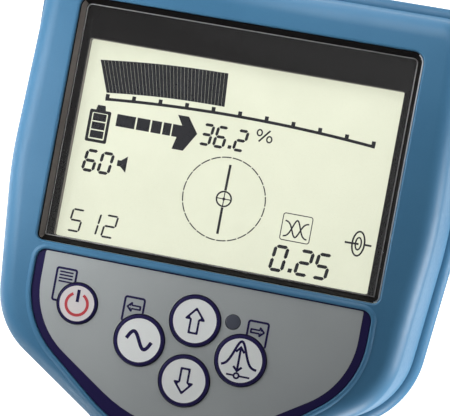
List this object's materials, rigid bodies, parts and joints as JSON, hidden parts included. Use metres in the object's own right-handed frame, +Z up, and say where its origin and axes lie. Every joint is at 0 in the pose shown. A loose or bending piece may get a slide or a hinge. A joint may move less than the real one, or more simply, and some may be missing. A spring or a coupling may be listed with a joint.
{
  "type": "cable locator",
  "caption": "Hand-held cable locator with a tilted display and keypad head, loop handle over a battery arm, and an antenna blade on a rubber foot.",
  "frame": {"origin": "centre of the flat sole of the rubber foot, on the ground", "axes": "+Z up along the antenna blade, +X to the user's right, +Y away from the user"},
  "size_m": [0.134, 0.2983, 0.6435],
  "materials": {
    "blue_plastic": "fine satin moulded plastic, greyed mid blue",
    "black_rubber": "matt black rubber",
    "dark_frame": "smooth dark grey plastic",
    "clear_lens": "clear polished lens",
    "screen_cream": "reflective liquid crystal display, cream with dark segments",
    "white_diffuser": "white light diffuser",
    "dark_plastic": "matt dark grey plastic",
    "steel": "plain steel",
    "board_green": "green solder mask",
    "chip_black": "black epoxy",
    "keypad_grey": "printed film, grey with a navy border",
    "key_rubber": "pale grey moulded rubber with printed marks",
    "sensor_dark": "dark smooth plastic",
    "nickel": "nickel plate",
    "grip_rubber": "dark soft rubber, lightly textured",
    "alloy": "turned aluminium",
    "contact_brass": "bright brass strip",
    "cell_jacket": "plain metal jacket without print",
    "ferrite": "dull dark ferrite",
    "copper_wire": "varnished copper wire"
  },
  "bodies": {
    "body": {"top_casing": "blue_plastic", "lower_casing": "blue_plastic", "casing_seal": "black_rubber", "window_frame": "dark_frame", "display_lens": "clear_lens", "screen_glass": "screen_cream", "backlight_panel": "white_diffuser", "display_carrier": "dark_plastic", "display_screws": "steel", "main_board": "board_green", "board_chips": "chip_black", "board_screws": "steel", "keypad_sheet": "keypad_grey", "light_sensor": "sensor_dark", "key_domes": "steel", "keypad_board": "board_green", "keypad_screws": "steel", "case_screws": "steel", "head_bolts": "steel", "handle_collar": "black_rubber", "left_neck_shell": "blue_plastic", "right_neck_shell": "blue_plastic", "neck_screws": "steel", "speaker": "dark_plastic", "speaker_gasket": "black_rubber", "socket_panel": "dark_plastic", "accessory_socket": "nickel", "headphone_socket": "sensor_dark", "left_handle_shell": "blue_plastic", "right_handle_shell": "blue_plastic", "handle_screws": "steel", "grip_sleeve": "grip_rubber", "battery_arm": "blue_plastic", "arm_collar": "black_rubber", "arm_nut": "alloy", "hinge_pin": "steel", "battery_cells": "cell_jacket", "cell_contact": "contact_brass", "blade_tube": "blue_plastic", "blade_seal": "black_rubber", "blade_bolts": "steel", "antenna_board": "board_green", "board_guides": "dark_plastic", "antenna_cores": "ferrite", "antenna_coils": "copper_wire", "foot_boot": "grip_rubber", "boot_screws": "steel"},
    "power_key": {"power_key": "key_rubber"},
    "frequency_key": {"frequency_key": "key_rubber"},
    "up_key": {"up_key": "key_rubber"},
    "down_key": {"down_key": "key_rubber"},
    "peak_key": {"peak_key": "key_rubber"},
    "door": {"battery_door": "blue_plastic", "door_seal": "black_rubber", "door_contact": "contact_brass"},
    "stud": {"door_stud": "steel"}
  },
  "joints": [
    {"name": "power_key_press", "type": "slide", "parent": "body", "child": "power_key", "axis": [0, 0.5878, -0.809], "range_m": [0, 0.0006], "stiffness_N_per_m": 1500},
    {"name": "frequency_key_press", "type": "slide", "parent": "body", "child": "frequency_key", "axis": [0, 0.5878, -0.809], "range_m": [0, 0.0006], "stiffness_N_per_m": 1500},
    {"name": "up_key_press", "type": "slide", "parent": "body", "child": "up_key", "axis": [0, 0.5878, -0.809], "range_m": [0, 0.0006], "stiffness_N_per_m": 1500},
    {"name": "down_key_press", "type": "slide", "parent": "body", "child": "down_key", "axis": [0, 0.5878, -0.809], "range_m": [0, 0.0006], "stiffness_N_per_m": 1500},
    {"name": "peak_key_press", "type": "slide", "parent": "body", "child": "peak_key", "axis": [0, 0.5878, -0.809], "range_m": [0, 0.0006], "stiffness_N_per_m": 1500},
    {"name": "battery_door_hinge", "type": "hinge", "parent": "body", "child": "door", "pos_m": [0, -0.235, 0.342], "axis": [1, 0, 0], "range_deg": [0, 105]},
    {"name": "door_stud_turn", "type": "hinge", "parent": "door", "child": "stud", "pos_m": [0, -0.2374, 0.3955], "axis": [0, 1, 0], "range_deg": [0, 90]}
  ]
}
